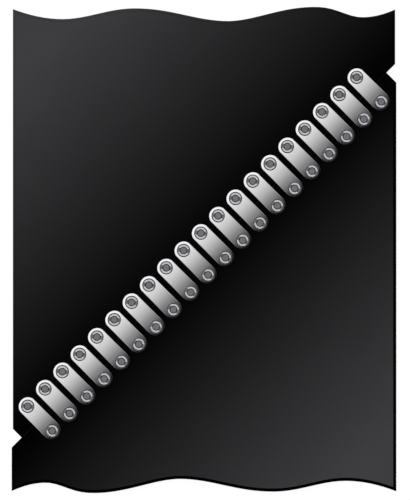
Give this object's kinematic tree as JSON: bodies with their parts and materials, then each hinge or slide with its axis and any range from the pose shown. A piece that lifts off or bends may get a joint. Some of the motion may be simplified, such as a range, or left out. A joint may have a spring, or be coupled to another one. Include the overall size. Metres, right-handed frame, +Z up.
{
  "type": "belt fastener strip",
  "caption": "Diagonal row of two-bolt plate fasteners with slotted round nuts, clamping two bias-cut rubber conveyor belt ends into one butt splice.",
  "frame": {"origin": "middle of the section's box in plan, on the plane of the bottom plates' outer faces", "axes": "+Z up, out of the carrying cover; +Y along the belt towards the leading end; +X across the belt"},
  "size_m": [0.5032, 0.636, 0.0174],
  "materials": {
    "belt_rubber": "matt moulded cover",
    "top_plate_steel": "satin, tumbled",
    "bottom_plate_steel": "satin, tumbled",
    "nut_steel": "black oxide, with the top face ground bright",
    "bolt_steel": "ground ends"
  },
  "bodies": {
    "root": {"leading_belt_end": "belt_rubber", "trailing_belt_end": "belt_rubber", "top_plate_01": "top_plate_steel", "top_plate_02": "top_plate_steel", "top_plate_03": "top_plate_steel", "top_plate_04": "top_plate_steel", "top_plate_05": "top_plate_steel", "top_plate_06": "top_plate_steel", "top_plate_07": "top_plate_steel", "top_plate_08": "top_plate_steel", "top_plate_09": "top_plate_steel", "top_plate_10": "top_plate_steel", "top_plate_11": "top_plate_steel", "top_plate_12": "top_plate_steel", "top_plate_13": "top_plate_steel", "top_plate_14": "top_plate_steel", "top_plate_15": "top_plate_steel", "top_plate_16": "top_plate_steel", "top_plate_17": "top_plate_steel", "top_plate_18": "top_plate_steel", "top_plate_19": "top_plate_steel", "top_plate_20": "top_plate_steel", "bottom_plate_01": "bottom_plate_steel", "bottom_plate_02": "bottom_plate_steel", "bottom_plate_03": "bottom_plate_steel", "bottom_plate_04": "bottom_plate_steel", "bottom_plate_05": "bottom_plate_steel", "bottom_plate_06": "bottom_plate_steel", "bottom_plate_07": "bottom_plate_steel", "bottom_plate_08": "bottom_plate_steel", "bottom_plate_09": "bottom_plate_steel", "bottom_plate_10": "bottom_plate_steel", "bottom_plate_11": "bottom_plate_steel", "bottom_plate_12": "bottom_plate_steel", "bottom_plate_13": "bottom_plate_steel", "bottom_plate_14": "bottom_plate_steel", "bottom_plate_15": "bottom_plate_steel", "bottom_plate_16": "bottom_plate_steel", "bottom_plate_17": "bottom_plate_steel", "bottom_plate_18": "bottom_plate_steel", "bottom_plate_19": "bottom_plate_steel", "bottom_plate_20": "bottom_plate_steel", "leading_bolts": "bolt_steel", "trailing_bolts": "bolt_steel", "leading_nuts": "nut_steel", "trailing_nuts": "nut_steel"}
  },
  "joints": []
}
